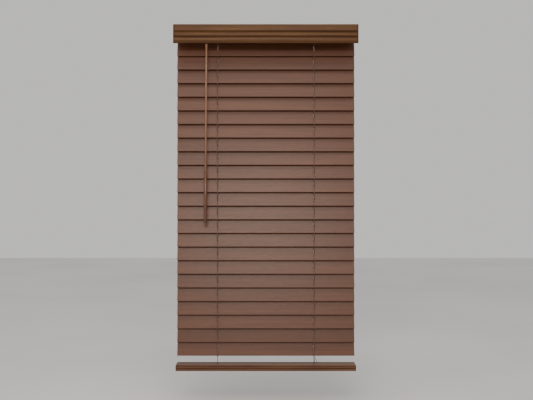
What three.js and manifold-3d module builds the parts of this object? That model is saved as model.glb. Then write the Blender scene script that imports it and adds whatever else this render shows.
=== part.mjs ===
// A 50 mm venetian blind with a moulded valance, a wand tilter and a cordless lift.
// Millimetres. +X runs along the slats to the right, -Y faces the room, +Z is up.
// The origin is on the window head, above the middle of the slats, and the blind hangs from it.
import * as THREE from 'three';
import { mergeVertices } from 'three/addons/utils/BufferGeometryUtils.js';
import Module from 'manifold-3d';

const wasm = await Module();
wasm.setup();

// ---- Driving dimensions ----
const GAP = 0.3; // between pieces that touch

const SLAT_COUNT = 23;
const SLAT_LENGTH = 566;
const SLAT_WIDTH = 50;
const SLAT_THICKNESS = 2.8;
const SLAT_EDGE = 0.9; // rounding of the slat's long edges
const SLAT_PITCH = 43.5;
const CLOSED_ANGLE = 76; // degrees from flat, front edge down
const SLAT_1_CLEARANCE = 3.6; // headrail to the first slat's edge as it swings past

const LADDER_FROM_END = 129; // slat end to each ladder
const ROUTE_SLOT_WIDTH = 3.6;
const ROUTE_SLOT_LENGTH = 18;
const LIFT_CORD_D = 1.8;
const LADDER_CORD_D = 1.6;
const LADDER_STEPS = 36;
const LADDER_HOLD = 1.75; // slat edge in to the point that the ladder follows
const LADDER_STAND_OFF = 3.4; // that point out to the cord's centre
const LADDER_FOOT_INSET = 3.5; // rail edge to where a ladder cord meets the rail

const HEADRAIL_SHORTER = 4; // than the slats
const HEADRAIL_DEPTH = 57;
const HEADRAIL_HEIGHT = 36;
const HEADRAIL_WALL = 1;
const HEADRAIL_LIP = 5;
const HEADRAIL_LIP_DROP = 3;
const HEADRAIL_DROP = 2; // window head to the top of the headrail
const LADDER_SLOT_WIDTH = 12;
const LADDER_SLOT_MARGIN = 4.5; // headrail face to the end of a ladder slot

const BRACKET_WALL = 1.5;
const BRACKET_LENGTH = 30;
const BRACKET_CLEARANCE = 0.5;
const BRACKET_RIM = 6; // left round the hand hole in its front
const SCREW_HOLE_D = 4.5;
const SCREW_SPACING = 28;
const SCREW_FROM_END = 12;

const VALANCE_LONGER = 16; // than the slats
const VALANCE_HEIGHT = 58.3;
const VALANCE_THICKNESS = 8;
const VALANCE_BEAD = 3; // how far the beads stand proud
const VALANCE_BEADS = [[0.03, 0.38], [0.42, 0.62], [0.66, 0.86]]; // in heights down from its top
const VALANCE_BEAD_STEPS = 6;
const VALANCE_BEAD_FULLNESS = 0.7; // 1 is a plain sine; less is fuller
const VALANCE_EASE = 2; // top front corner
const VALANCE_UNDERCUT_FROM = 0.9; // heights down
const VALANCE_UNDERCUT = 3;
const VALANCE_CLEARANCE = 18; // flat slats to the back of the valance

const RAIL_LONGER = 6; // than the slats
const RAIL_DEEPER = 1; // than the slats are wide
const RAIL_HEIGHT = 18.4;
const RAIL_CLEARANCE = 25.9; // a hanging slat's edge to the top of the bottom rail
const RAIL_ROUND = 3;
const RAIL_GROOVE = 2.4;
const RAIL_GROOVE_DEPTH = 1.4;
const RAIL_GROOVE_DROP = 9.4; // top of the rail to the middle of its groove

const ROD_SIZE = 5.5; // square tilt rod, across its flats
const ROD_FROM_RIM = 16; // headrail top to the middle of the tilt rod
const ROD_OVERHANG = 14; // beyond the tilter and the far drum
const DRUM_RADIUS = 12;
const DRUM_CORE = 9.5;
const DRUM_WIDTH = 12;
const DRUM_FLANGE = 1.2;
const CORD_END_CLEARANCE = 4; // drum down to where the cords' solids start

const WAND_FROM_LADDER = 33;
const PIVOT_CLEARANCE = 11; // flat slats to the middle of the wand
const PIVOT_DROP = 8; // headrail bottom to where the wand hooks on
const GEAR_CENTRES = 12; // tilt rod to the worm's axis
const STEM_D = 4.4;
const NECK_D = 3.2;
const NECK_REACH = 5; // each way from where the hook sits
const BUTTON_D = 6.4;
const BUTTON_THICKNESS = 1.6;
const WORM_D = 8;
const WORM_LENGTH = 14;
const WORM_RINGS = 3;
const WORM_CREST = [0.4, 0.6]; // where each ring is full, in steps along the worm
const STEM_SLOT_LENGTH = 22;
const STEM_SLOT_CLEARANCE = 1;
const TILTER_WIDTH = 26;
const TILTER_DEPTH = 34;
const TILTER_HEIGHT = 28;

const WAND_LENGTH = 567;
const WAND_D = 6;
const WAND_GRIP_D = 9.5;
const WAND_GRIP_LENGTH = 160;
const WAND_TAPER = 30;
const WAND_CAP_D = 7.4;
const WAND_CAP_LENGTH = 15;
const WAND_CAP_DROP = 1.5; // hook's loop to the top of the cap
const WAND_CHAMFER = 1;
const WAND_LEAN = 0.4; // degrees off plumb, foot towards the left
const HOOK_WIRE = 1.8;
const HOOK_WIDTH = 12;
const HOOK_HEIGHT = 13.2;
const HOOK_BEND = 2;
const HOOK_STEM = 10;

// ---- Worked out from the driving dimensions ----
const closed = THREE.MathUtils.degToRad(CLOSED_ANGLE);
const headrailTop = -HEADRAIL_DROP;
const headrailBottom = headrailTop - HEADRAIL_HEIGHT;
const headrailLength = SLAT_LENGTH - HEADRAIL_SHORTER;
const slat1Z = headrailBottom - SLAT_1_CLEARANCE - SLAT_WIDTH / 2;
const slatZ = (i) => slat1Z - SLAT_PITCH * (i - 1);
const lastSlatZ = slatZ(SLAT_COUNT);
const railTop = lastSlatZ - SLAT_WIDTH / 2 - RAIL_CLEARANCE;
const railDepth = SLAT_WIDTH + RAIL_DEEPER;
const ladderX = SLAT_LENGTH / 2 - LADDER_FROM_END;
const ladderY = (SLAT_WIDTH / 2 - LADDER_HOLD) * Math.cos(closed) + LADDER_STAND_OFF;
const rodZ = headrailTop - ROD_FROM_RIM;
const cordTop = rodZ - DRUM_RADIUS - CORD_END_CLEARANCE;
const boreRadius = ROD_SIZE * Math.SQRT1_2 + GAP;
const bracketInside = HEADRAIL_DEPTH / 2 + BRACKET_CLEARANCE;

// The wand hooks on at the pivot, and the stem runs from there to pass under the tilt rod.
const wandX = -ladderX - WAND_FROM_LADDER;
const pivotY = -SLAT_WIDTH / 2 - PIVOT_CLEARANCE;
const pivotZ = headrailBottom - PIVOT_DROP;
const pivotToRod = Math.hypot(pivotY, rodZ - pivotZ);
const stemRise = Math.atan2(rodZ - pivotZ, -pivotY) - Math.asin(GEAR_CENTRES / pivotToRod);
const stemReach = Math.sqrt(pivotToRod ** 2 - GEAR_CENTRES ** 2) + WORM_LENGTH / 2;
const stemTurn = stemRise - Math.PI / 2;

// ---- Materials ----
const finish = (color, roughness, metalness = 0) =>
  new THREE.MeshStandardMaterial({ color, roughness, metalness });
const slatFinish = finish(0x6f5348, 0.45);
const valanceFinish = finish(0x6a4a38, 0.4);
const railFinish = finish(0x6b4634, 0.42);
const wandFinish = finish(0x8f6a50, 0.35);
const cordFinish = finish(0x5b463a, 0.9);
const steelFinish = finish(0x4a3024, 0.5, 0.3);
const zincFinish = finish(0x9a9a96, 0.4, 0.9);
const mouldedFinish = finish(0xc9c4b8, 0.55);

// ---- Helpers ----
const blind = new THREE.Group();

function add(name, geometry, material, parent = blind) {
  const mesh = new THREE.Mesh(geometry, material);
  mesh.name = name;
  parent.add(mesh);
  return mesh;
}

function outline(points) {
  return new THREE.Shape(points.map(([x, y]) => new THREE.Vector2(x, y)));
}

// A (y, z) outline drawn out along X, centred on x = 0.
function alongX(shape, length, curveSegments = 6) {
  const geometry = new THREE.ExtrudeGeometry(shape, { depth: length, bevelEnabled: false, curveSegments });
  const turn = new THREE.Matrix4().makeBasis(
    new THREE.Vector3(0, 1, 0), new THREE.Vector3(0, 0, 1), new THREE.Vector3(1, 0, 0));
  return geometry.translate(0, 0, -length / 2).applyMatrix4(turn);
}

function box([x0, x1], [y0, y1], [z0, z1]) {
  const geometry = new THREE.BoxGeometry(x1 - x0, y1 - y0, z1 - z0);
  return geometry.translate((x0 + x1) / 2, (y0 + y1) / 2, (z0 + z1) / 2);
}

// A cylinder along Z between two heights, at (x, y).
function post(radius, z0, z1, x = 0, y = 0, sides = 16) {
  const geometry = new THREE.CylinderGeometry(radius, radius, z1 - z0, sides);
  return geometry.rotateX(Math.PI / 2).translate(x, y, (z0 + z1) / 2);
}

function solid(geometry) {
  const bare = geometry.clone();
  bare.deleteAttribute('normal');
  bare.deleteAttribute('uv');
  const joined = mergeVertices(bare, 1e-4);
  return new wasm.Manifold(new wasm.Mesh({
    numProp: 3,
    vertProperties: new Float32Array(joined.attributes.position.array),
    triVerts: new Uint32Array(joined.index.array),
  }));
}

function surface(manifold) {
  const mesh = manifold.getMesh();
  const geometry = new THREE.BufferGeometry();
  geometry.setAttribute('position', new THREE.BufferAttribute(mesh.vertProperties, 3));
  geometry.setIndex(new THREE.BufferAttribute(mesh.triVerts, 1));
  return geometry;
}

function cut(base, ...tools) {
  return surface(tools.reduce((left, tool) => left.subtract(solid(tool)), solid(base)));
}

function join(base, ...others) {
  return surface(others.reduce((all, other) => all.add(solid(other)), solid(base)));
}

// A slot with round ends, its long way along the shape's y.
function slotPath(x, width, length) {
  const path = new THREE.Path();
  const straight = (length - width) / 2;
  path.absarc(x, straight, width / 2, 0, Math.PI, false);
  path.absarc(x, -straight, width / 2, Math.PI, 2 * Math.PI, false);
  path.closePath();
  return path;
}

// ---- Slats ----
function slatGeometry() {
  const x = SLAT_LENGTH / 2;
  const y = SLAT_WIDTH / 2;
  const plan = outline([[-x, -y], [x, -y], [x, y], [-x, y]]);
  plan.holes = [-ladderX, ladderX].map((at) => slotPath(at, ROUTE_SLOT_WIDTH, ROUTE_SLOT_LENGTH));
  const geometry = new THREE.ExtrudeGeometry(plan, {
    depth: SLAT_THICKNESS - 2 * SLAT_EDGE,
    bevelThickness: SLAT_EDGE,
    bevelSize: SLAT_EDGE,
    bevelOffset: -SLAT_EDGE,
    bevelSegments: 1,
    curveSegments: 4,
  });
  return geometry.translate(0, 0, SLAT_EDGE - SLAT_THICKNESS / 2);
}

function addSlats() {
  const geometry = slatGeometry();
  for (let i = 1; i <= SLAT_COUNT; i++) {
    const slat = add(`slat_${String(i).padStart(2, '0')}`, geometry, slatFinish);
    slat.position.z = slatZ(i);
    slat.rotation.x = closed;
  }
}

// ---- Lift cords ----
// Each cord is a run of links, two pitches long. The left cord's links belong to the even
// slats and the right cord's to the odd ones, and the end links reach the drum and the rail.
function addLiftCords() {
  for (let i = 2; i < SLAT_COUNT; i++) {
    const side = i % 2 ? 1 : -1;
    const first = i <= 3;
    const last = i >= SLAT_COUNT - 2;
    const top = first ? cordTop : slatZ(i - 1) - GAP / 2;
    const foot = last ? railTop + GAP : slatZ(i + 1) + GAP / 2;
    const name = `lift_cord_${String(i).padStart(2, '0')}`;
    add(name, post(LIFT_CORD_D / 2, foot, top, side * ladderX, 0, 8), cordFinish);
  }
}

// ---- Ladder cords ----
function ladderCord(x, facing) {
  const straightEnd = lastSlatZ - SLAT_WIDTH / 2 * Math.sin(closed) - LADDER_CORD_D;
  const y = facing * ladderY;
  const footY = facing * (railDepth / 2 - LADDER_FOOT_INSET);
  const path = new THREE.CurvePath();
  const top = new THREE.Vector3(x, y, cordTop);
  const knee = new THREE.Vector3(x, y, straightEnd);
  const foot = new THREE.Vector3(x, footY, railTop + LADDER_CORD_D / 2 + GAP);
  path.add(new THREE.LineCurve3(top, knee));
  path.add(new THREE.LineCurve3(knee, foot));
  const section = new THREE.Shape();
  section.absarc(0, 0, LADDER_CORD_D / 2, 0, 2 * Math.PI, false);
  return new THREE.ExtrudeGeometry(section, { steps: LADDER_STEPS, curveSegments: 4, extrudePath: path });
}

function addLadders() {
  const faces = { front: -1, back: 1 };
  const sides = { left: -1, right: 1 };
  for (const [face, facing] of Object.entries(faces)) {
    for (const [side, sign] of Object.entries(sides)) {
      add(`ladder_${face}_${side}`, ladderCord(sign * ladderX, facing), cordFinish);
    }
  }
}

// ---- Headrail ----
// An open-topped channel whose walls turn in and down at the top.
function headrailShape() {
  const y = HEADRAIL_DEPTH / 2;
  const top = headrailTop;
  const w = HEADRAIL_WALL;
  const lip = y - HEADRAIL_LIP;
  const lipFoot = top - HEADRAIL_LIP_DROP;
  const half = [
    [y, headrailBottom], [y, top], [lip, top], [lip, lipFoot],
    [lip + w, lipFoot], [lip + w, top - w], [y - w, top - w], [y - w, headrailBottom + w],
  ];
  const mirrored = half.map(([a, z]) => [-a, z]).reverse();
  return outline([...half, ...mirrored]);
}

function addHeadrail() {
  const below = headrailBottom - GAP;
  const above = headrailBottom + HEADRAIL_WALL + GAP;
  const slotHalf = HEADRAIL_DEPTH / 2 - LADDER_SLOT_MARGIN;
  const ladderSlot = (x) => box(
    [x - LADDER_SLOT_WIDTH / 2, x + LADDER_SLOT_WIDTH / 2],
    [-slotHalf, slotHalf], [below, above]);
  const stemHalf = WORM_D / 2 + STEM_SLOT_CLEARANCE;
  const stemY = pivotY + PIVOT_DROP / Math.tan(stemRise);
  const stemSlot = box([wandX - stemHalf, wandX + stemHalf],
    [stemY - STEM_SLOT_LENGTH / 2, stemY + STEM_SLOT_LENGTH / 2], [below, above]);
  const channel = alongX(headrailShape(), headrailLength);
  const geometry = cut(channel, ladderSlot(-ladderX), ladderSlot(ladderX), stemSlot);
  add('headrail', geometry, steelFinish);
}

// ---- Mounting brackets ----
// A box with an open inner end: it holds the headrail's end and screws to the window.
function bracketGeometry(sign) {
  const inner = headrailLength / 2 + GAP;
  const outer = inner + BRACKET_WALL;
  const start = outer - BRACKET_LENGTH;
  const y = bracketInside + BRACKET_WALL;
  const foot = headrailBottom - GAP - BRACKET_WALL;
  const shell = box([start, outer], [-y, y], [foot, 0]);
  const hollow = box([start - 1, inner], [-bracketInside, bracketInside],
    [headrailBottom - GAP, -BRACKET_WALL]);
  const mouth = box([start - 1, start + BRACKET_LENGTH / 2], [-y - 1, 0],
    [foot + BRACKET_RIM, -BRACKET_RIM]);
  const drill = 2 * BRACKET_WALL;
  const across = [-SCREW_SPACING / 2, SCREW_SPACING / 2];
  const holes = across.map((at) => post(SCREW_HOLE_D / 2, -drill, drill, outer - SCREW_FROM_END, at, 12));
  const sideHoles = across.map((at) =>
    post(SCREW_HOLE_D / 2, -drill, drill, 0, 0, 12).rotateY(Math.PI / 2).translate(outer, at, rodZ));
  const geometry = cut(shell, hollow, mouth, ...holes, ...sideHoles);
  if (sign > 0) return geometry;
  return mirrorX(geometry);
}

// The same piece for the other end: mirrored in X, with its faces turned back out.
function mirrorX(geometry) {
  const mirrored = geometry.clone().scale(-1, 1, 1);
  const index = mirrored.index.array;
  for (let i = 0; i < index.length; i += 3) {
    [index[i], index[i + 1]] = [index[i + 1], index[i]];
  }
  return mirrored;
}

// ---- Valance ----
// Three beads between two grooves, over a chamfer that turns under.
function valanceShape() {
  const top = -GAP;
  const back = -SLAT_WIDTH / 2 - VALANCE_CLEARANCE;
  const flat = back - VALANCE_THICKNESS;
  const h = VALANCE_HEIGHT;
  const front = VALANCE_BEADS.flatMap(([from, to]) => {
    const points = [];
    for (let k = 0; k <= VALANCE_BEAD_STEPS; k++) {
      const across = k / VALANCE_BEAD_STEPS;
      const proud = VALANCE_BEAD * Math.sin(Math.PI * across) ** VALANCE_BEAD_FULLNESS;
      points.push([flat - proud, top - (from + (to - from) * across) * h]);
    }
    return points;
  });
  return outline([
    [back, top - h], [back, top], [flat + VALANCE_EASE, top], ...front,
    [flat, top - VALANCE_UNDERCUT_FROM * h], [flat + VALANCE_UNDERCUT, top - h],
  ]);
}

// ---- Bottom rail ----
function railShape() {
  const y = railDepth / 2;
  const foot = railTop - RAIL_HEIGHT;
  const grooveTop = railTop - RAIL_GROOVE_DROP + RAIL_GROOVE / 2;
  const grooveFoot = grooveTop - RAIL_GROOVE;
  const arc = (cy, cz, from, to) => [0, 1, 2, 3].map((k) => {
    const turn = from + (to - from) * k / 3;
    return [cy + RAIL_ROUND * Math.cos(turn), cz + RAIL_ROUND * Math.sin(turn)];
  });
  const half = [
    ...arc(y - RAIL_ROUND, foot + RAIL_ROUND, -Math.PI / 2, 0),
    [y, grooveFoot], [y - RAIL_GROOVE_DEPTH, grooveFoot + RAIL_GROOVE / 4],
    [y - RAIL_GROOVE_DEPTH, grooveTop - RAIL_GROOVE / 4], [y, grooveTop],
    ...arc(y - RAIL_ROUND, railTop - RAIL_ROUND, 0, Math.PI / 2),
  ];
  return outline([...half, ...half.map(([a, z]) => [-a, z]).reverse()]);
}

// ---- Tilt mechanism ----
function drumGeometry() {
  const w = DRUM_WIDTH / 2;
  const profile = [
    [boreRadius, -w], [DRUM_RADIUS, -w], [DRUM_RADIUS, DRUM_FLANGE - w], [DRUM_CORE, DRUM_FLANGE - w],
    [DRUM_CORE, w - DRUM_FLANGE], [DRUM_RADIUS, w - DRUM_FLANGE], [DRUM_RADIUS, w], [boreRadius, w],
    [boreRadius, -w],
  ].map(([r, z]) => new THREE.Vector2(r, z));
  return new THREE.LatheGeometry(profile, 20).rotateZ(Math.PI / 2);
}

function addRodAndDrums() {
  const left = wandX - TILTER_WIDTH / 2 - ROD_OVERHANG;
  const right = ladderX + DRUM_WIDTH / 2 + ROD_OVERHANG;
  const half = ROD_SIZE / 2;
  const rod = box([left, right], [-half, half], [rodZ - half, rodZ + half]);
  add('tilt_rod', rod, zincFinish);
  for (const [side, sign] of [['left', -1], ['right', 1]]) {
    const drum = add(`${side}_ladder_drum`, drumGeometry(), mouldedFinish);
    drum.position.set(sign * ladderX, 0, rodZ);
  }
}

// The stem, worm and button turn together. Drawn along Z with the pivot at 0 and the worm
// above it, then laid over to the stem's angle.
function wormGeometry() {
  const button = BUTTON_D / 2;
  const wormFoot = stemReach - WORM_LENGTH;
  const buttonTop = BUTTON_THICKNESS - NECK_REACH;
  const profile = [
    [0, -NECK_REACH], [button, -NECK_REACH], [button, buttonTop], [NECK_D / 2, buttonTop],
    [NECK_D / 2, NECK_REACH], [STEM_D / 2, NECK_REACH],
  ];
  const step = WORM_LENGTH / WORM_RINGS;
  profile.push([STEM_D / 2, wormFoot]);
  for (let k = 0; k < WORM_RINGS; k++) {
    const foot = wormFoot + k * step;
    const crest = WORM_CREST.map((at) => [WORM_D / 2, foot + step * at]);
    profile.push(...crest, [STEM_D / 2, foot + step]);
  }
  profile.push([0, stemReach]);
  const points = profile.map(([r, z]) => new THREE.Vector2(r, z));
  return new THREE.LatheGeometry(points, 12).rotateX(Math.PI / 2);
}

function addTilter() {
  const pivot = new THREE.Group();
  pivot.position.set(wandX, pivotY, pivotZ);
  blind.add(pivot);
  const worm = add('tilter_worm', wormGeometry(), mouldedFinish, pivot);
  worm.rotation.x = stemTurn;

  const wide = [wandX - TILTER_WIDTH / 2, wandX + TILTER_WIDTH / 2];
  const foot = headrailBottom + HEADRAIL_WALL + GAP;
  const shell = box(wide, [-TILTER_DEPTH / 2, TILTER_DEPTH / 2], [foot, foot + TILTER_HEIGHT]);
  const rodBore = post(boreRadius, -TILTER_WIDTH, TILTER_WIDTH).rotateY(Math.PI / 2)
    .translate(wandX, 0, rodZ);
  const wormBore = post(WORM_D / 2 + GAP, 0, stemReach + GAP, 0, 0, 12)
    .rotateX(stemTurn).translate(wandX, pivotY, pivotZ);
  add('tilter_housing', cut(shell, rodBore, wormBore), mouldedFinish);
}

// ---- Wand ----
// A wire loop hangs on the stem's neck, and its tail turns in the wand's cap.
function hookGeometry() {
  const w = HOOK_WIDTH / 2;
  const top = HOOK_HEIGHT / 2;
  const b = HOOK_BEND;
  const loop = outline([[-w + b, -top], [w - b, -top], [w, -top + b], [w, top - b],
    [w - b, top], [-w + b, top], [-w, top - b], [-w, -top + b]]);
  const inner = w - HOOK_WIRE;
  const innerTop = top - HOOK_WIRE;
  loop.holes = [outline([[-inner, -innerTop], [inner, -innerTop], [inner, innerTop], [-inner, innerTop]])];
  const wire = new THREE.ExtrudeGeometry(loop, { depth: HOOK_WIRE, bevelEnabled: false })
    .translate(0, 0, -HOOK_WIRE / 2).rotateX(Math.PI / 2);
  const tail = post(HOOK_WIRE / 2, -top - HOOK_STEM, -top + HOOK_WIRE / 2, 0, 0, 8);
  return join(wire, tail);
}

function wandGeometry() {
  const top = -HOOK_HEIGHT / 2 - WAND_CAP_DROP;
  const foot = top - WAND_LENGTH;
  const bore = HOOK_WIRE / 2 + GAP;
  const boreFoot = -HOOK_HEIGHT / 2 - HOOK_STEM - GAP;
  const capFoot = top - WAND_CAP_LENGTH;
  const gripTop = foot + WAND_GRIP_LENGTH;
  const c = WAND_CHAMFER;
  const profile = [
    [0, foot], [WAND_GRIP_D / 2 - c, foot], [WAND_GRIP_D / 2, foot + c], [WAND_GRIP_D / 2, gripTop],
    [WAND_D / 2, gripTop + WAND_TAPER], [WAND_D / 2, capFoot], [WAND_CAP_D / 2, capFoot + c],
    [WAND_CAP_D / 2, top - c], [WAND_CAP_D / 2 - c, top], [bore, top], [bore, boreFoot], [0, boreFoot],
  ].map(([r, z]) => new THREE.Vector2(r, z));
  return new THREE.LatheGeometry(profile, 14).rotateX(Math.PI / 2);
}

function addWand() {
  const hang = new THREE.Group();
  hang.position.set(wandX, pivotY, pivotZ);
  hang.rotation.y = THREE.MathUtils.degToRad(WAND_LEAN);
  blind.add(hang);
  add('wand_hook', hookGeometry(), zincFinish, hang);
  add('tilt_wand', wandGeometry(), wandFinish, hang);
}

// ---- The assembly ----
addHeadrail();
add('left_bracket', bracketGeometry(-1), steelFinish);
add('right_bracket', bracketGeometry(1), steelFinish);
add('valance', alongX(valanceShape(), SLAT_LENGTH + VALANCE_LONGER), valanceFinish);
addRodAndDrums();
addTilter();
addWand();
addSlats();
addLiftCords();
addLadders();
add('bottom_rail', alongX(railShape(), SLAT_LENGTH + RAIL_LONGER), railFinish);

export default blind;
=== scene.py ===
# %% [markdown]
# # A venetian blind
# This blind hangs inside a window. It has twenty-three wide slats on two cord ladders, a beaded
# valance that hides the headrail, a wand that tilts the slats, and a weighted bottom rail.
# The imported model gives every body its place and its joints. The cells below dress each body with
# finer pieces and real finishes, so a reader can learn how meshes and materials are made in code.

import math

import bmesh
import bpy
from mathutils import Matrix, Vector


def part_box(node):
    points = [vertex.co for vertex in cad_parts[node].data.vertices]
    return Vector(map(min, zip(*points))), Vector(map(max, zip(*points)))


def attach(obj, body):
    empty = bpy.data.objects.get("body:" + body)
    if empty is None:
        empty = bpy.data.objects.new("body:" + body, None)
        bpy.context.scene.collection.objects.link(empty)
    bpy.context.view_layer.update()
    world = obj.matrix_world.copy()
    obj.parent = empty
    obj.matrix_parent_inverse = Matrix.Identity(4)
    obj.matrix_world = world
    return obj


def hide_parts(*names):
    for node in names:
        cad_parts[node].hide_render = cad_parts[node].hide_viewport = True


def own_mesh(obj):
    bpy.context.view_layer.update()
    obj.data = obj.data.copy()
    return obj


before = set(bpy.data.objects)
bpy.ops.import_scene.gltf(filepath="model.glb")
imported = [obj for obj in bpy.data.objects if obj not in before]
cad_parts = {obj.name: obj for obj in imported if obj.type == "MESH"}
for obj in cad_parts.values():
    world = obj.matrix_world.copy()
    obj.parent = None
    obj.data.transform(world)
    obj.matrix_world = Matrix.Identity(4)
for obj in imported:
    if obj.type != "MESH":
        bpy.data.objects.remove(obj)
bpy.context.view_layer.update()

# %% [markdown]
# The camera stands about 2.3 m in front of the blind, level with its middle, as a person would
# stand to look at a window. A longer lens keeps the slats straight, and all of the blind is in
# focus.

# %% Camera
camera_data = bpy.data.cameras.new("camera")
camera_data.lens = 48.54
camera_data.sensor_width = 36.0
camera_data.clip_start = 0.05
camera_data.clip_end = 60.0
camera = bpy.data.objects.new("camera", camera_data)
camera.location = (0.0022, -2.30, -0.5507)
camera.rotation_euler = (math.radians(90), 0, 0)
bpy.context.collection.objects.link(camera)
bpy.context.scene.camera = camera
print("camera", round(-camera.location.y, 3), "m in front of the slats' centre plane")

# %% [markdown]
# Lengths are easier to read in millimetres, and Blender works in metres, so one small function
# turns them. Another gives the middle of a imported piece, from its lowest and highest corners.

# %% Sizes and places
def mm(value):
    return value / 1000.0


def centre_of(node):
    low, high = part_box(node)
    return (Vector(low) + Vector(high)) / 2


SLATS = 23
CLOSED = math.radians(76)  # a shut slat's turn from level
SLAT_WIDTH, SLAT_THICKNESS = mm(50), mm(2.8)
SLAT_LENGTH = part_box("slat_01")[1][0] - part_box("slat_01")[0][0]
LADDER_X = centre_of("right_ladder_drum").x
FRONT, BACK = -1, 1
SIDES = (-1, 1)
FACES = (FRONT, BACK)
side_name = {-1: "left", 1: "right"}
face_name = {FRONT: "front", BACK: "back"}
slat_centre = {i: centre_of(f"slat_{i:02d}") for i in range(1, SLATS + 1)}
rail_low, rail_high = (Vector(corner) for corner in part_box("bottom_rail"))
print("slat pitch", round((slat_centre[1].z - slat_centre[2].z) * 1000, 2), "mm")

# %% [markdown]
# Colours are written as the hex values that a paint card would give. Those are sRGB, and a shader
# needs linear light, so one function turns them. One more function adds a shader node: it sets the
# node's own settings, then fills each socket with a number or with a link.

# %% Colours and nodes
def paint(code):
    values = [int(code[i:i + 2], 16) / 255 for i in (0, 2, 4)]
    linear = [v / 12.92 if v <= 0.04045 else ((v + 0.055) / 1.055) ** 2.4 for v in values]
    return (*linear, 1.0)


def add_node(material, kind, settings=None, sockets=None):
    node = material.node_tree.nodes.new("ShaderNode" + kind)
    for name, value in (settings or {}).items():
        setattr(node, name, value)
    for name, value in (sockets or {}).items():
        if isinstance(value, bpy.types.NodeSocket):
            material.node_tree.links.new(value, node.inputs[name])
        else:
            node.inputs[name].default_value = value
    return node


def join(material, output, node, socket):
    material.node_tree.links.new(output, node.inputs[socket])


def new_finish(name, roughness, metallic=0.0, ior=1.5, **sockets):
    material = bpy.data.materials.new(name)
    material.use_nodes = True
    surface = material.node_tree.nodes["Principled BSDF"]
    surface.inputs["Roughness"].default_value = roughness
    surface.inputs["Metallic"].default_value = metallic
    surface.inputs["IOR"].default_value = ior
    for socket, value in sockets.items():
        surface.inputs[socket.replace("_", " ")].default_value = value
    return material, surface


def stretched(material, size_x, size_y, size_z):
    """Coordinates on the piece, where one unit is that many millimetres each way."""
    place = add_node(material, "TexCoord")
    scale = (1000 / size_x, 1000 / size_y, 1000 / size_z)
    mapping = add_node(material, "Mapping", {}, {"Vector": place.outputs["Object"], "Scale": scale})
    return mapping.outputs["Vector"]


def colour_steps(material, factor, steps):
    ramp = add_node(material, "ValToRGB", {}, {"Fac": factor})
    while len(ramp.color_ramp.elements) < len(steps):
        ramp.color_ramp.elements.new(0.5)
    for element, (position, code) in zip(ramp.color_ramp.elements, steps):
        element.position = position
        element.color = paint(code)
    return ramp.outputs["Color"]


# A Mix node keeps its two colours, and the colour it gives, at these places in its sockets.
MIX_A, MIX_B, MIX_RESULT = 6, 7, 2


def multiplied(material, colour, tint):
    node = add_node(material, "Mix", {"data_type": "RGBA", "blend_type": "MULTIPLY"}, {"Factor": 1.0})
    join(material, colour, node, MIX_A)
    join(material, tint, node, MIX_B)
    return node.outputs[MIX_RESULT]


# %% [markdown]
# Faux wood is a foamed PVC and wood-flour board with a printed and embossed skin. The eye reads it
# by long, narrow streaks that run the length of the slat, by fine pores pressed into the skin, and
# by a satin sheen. Two noises do that: a broad one for the streaks and a narrow one for the pores.
# Both are stretched along X. Pores are 0.3 mm wide on the real skin, too fine to show from here,
# so they are drawn about 1.2 mm wide.

# %% Faux wood
def faux_wood(name, dark, middle, light, roughness=0.4, streak=7.0, coat=0.2, ior=1.47):
    material, surface = new_finish(name, roughness, ior=ior, Coat_Weight=coat, Coat_Roughness=0.35)
    streaks = add_node(material, "TexNoise", {}, {
        "Vector": stretched(material, 240, streak, streak), "Scale": 1.0, "Detail": 5.0,
        "Roughness": 0.62})
    pores = add_node(material, "TexNoise", {}, {
        "Vector": stretched(material, 26, 1.2, 1.2), "Scale": 1.0, "Detail": 3.0, "Roughness": 0.6})
    board = add_node(material, "TexNoise", {}, {
        "Vector": stretched(material, 900, 60, 60), "Scale": 1.0, "Detail": 1.0})
    wood = colour_steps(material, streaks.outputs["Fac"], [(0.32, dark), (0.5, middle), (0.68, light)])
    pore_tint = colour_steps(material, pores.outputs["Fac"], [(0.32, "e6dfdb"), (0.52, "ffffff")])
    board_tint = colour_steps(material, board.outputs["Fac"], [(0.35, "ece6e3"), (0.65, "ffffff")])
    grained = multiplied(material, wood, pore_tint)
    join(material, multiplied(material, grained, board_tint), surface, "Base Color")
    gloss = add_node(material, "MapRange", {}, {
        "Value": pores.outputs["Fac"], "To Min": roughness + 0.12, "To Max": roughness - 0.06})
    join(material, gloss.outputs["Result"], surface, "Roughness")
    emboss = add_node(material, "Bump", {}, {
        "Strength": 0.2, "Distance": mm(0.2), "Height": pores.outputs["Fac"]})
    join(material, emboss.outputs["Normal"], surface, "Normal")
    return material


slat_wood = faux_wood("faux_wood_slat_skin", "57311c", "5e3620", "663b23")
valance_wood = faux_wood("faux_wood_valance_skin", "4c2d12", "583817", "66461f", 0.5, 9.0, 0.0, 1.36)
rail_wood = faux_wood("faux_wood_rail_skin", "5a3a28", "684733", "77553e", 0.5, 8.0, 0.0, 1.36)
print("faux wood finishes", 3)

# %% [markdown]
# The cords are braided polyester, about 1.6 mm thick. A braid shows as small raised diamonds that
# cross in two directions, and it has no gloss. The diamonds are 0.9 mm on the real cord. Two wave
# patterns that slope across each other make them, 1.8 mm apart here so that they show.

# %% Braided cord
STRAND_SLOPE = 0.7  # radians


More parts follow.
